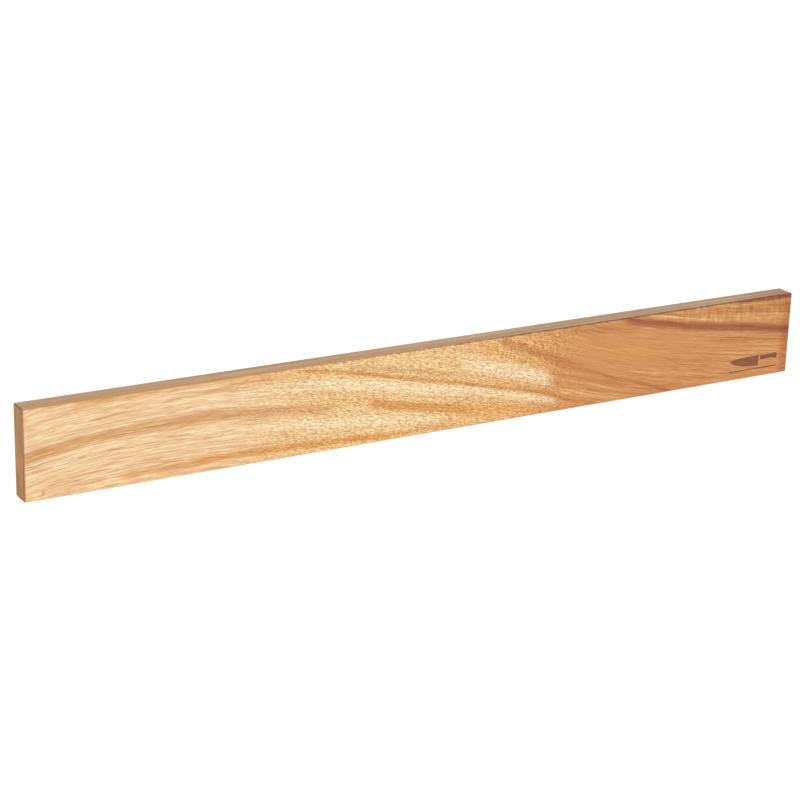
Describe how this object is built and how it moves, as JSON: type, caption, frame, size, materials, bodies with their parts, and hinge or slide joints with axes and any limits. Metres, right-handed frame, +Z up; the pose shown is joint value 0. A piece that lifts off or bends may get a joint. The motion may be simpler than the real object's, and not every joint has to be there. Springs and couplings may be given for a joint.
{
  "type": "magnetic knife bar",
  "caption": "Wall-hung magnetic knife strip: solid acacia bar with hidden magnets on a steel yoke, closed at the back by a wood strip and hung on recessed keyhole plates.",
  "frame": {"origin": "centre of the flat back face, which lies on the wall", "axes": "+X along the bar, to the right as seen from the front; +Y into the wall, so the front face looks along -Y; +Z up"},
  "size_m": [0.61, 0.015, 0.062],
  "materials": {
    "acacia_bar": "oiled satin, lengthwise acacia figure",
    "acacia_cover": "oiled, sanded flush",
    "mild_steel": "bare rolled mild steel",
    "nickel_plate": "bright nickel plating on sintered neodymium",
    "zinc_plate": "bright zinc-plated pressed steel",
    "screw_steel": "zinc-plated screw steel"
  },
  "bodies": {
    "root": {"wood_bar": "acacia_bar", "back_cover_strip": "acacia_cover", "steel_yoke_bar": "mild_steel", "magnet_01": "nickel_plate", "magnet_02": "nickel_plate", "magnet_03": "nickel_plate", "magnet_04": "nickel_plate", "magnet_05": "nickel_plate", "magnet_06": "nickel_plate", "magnet_07": "nickel_plate", "magnet_08": "nickel_plate", "magnet_09": "nickel_plate", "magnet_10": "nickel_plate", "magnet_11": "nickel_plate", "magnet_12": "nickel_plate", "magnet_13": "nickel_plate", "magnet_14": "nickel_plate", "magnet_15": "nickel_plate", "magnet_16": "nickel_plate", "magnet_17": "nickel_plate", "magnet_18": "nickel_plate", "hanger_plate_left": "zinc_plate", "hanger_plate_right": "zinc_plate", "hanger_screw_left_upper": "screw_steel", "hanger_screw_left_lower": "screw_steel", "hanger_screw_right_upper": "screw_steel", "hanger_screw_right_lower": "screw_steel"}
  },
  "joints": []
}
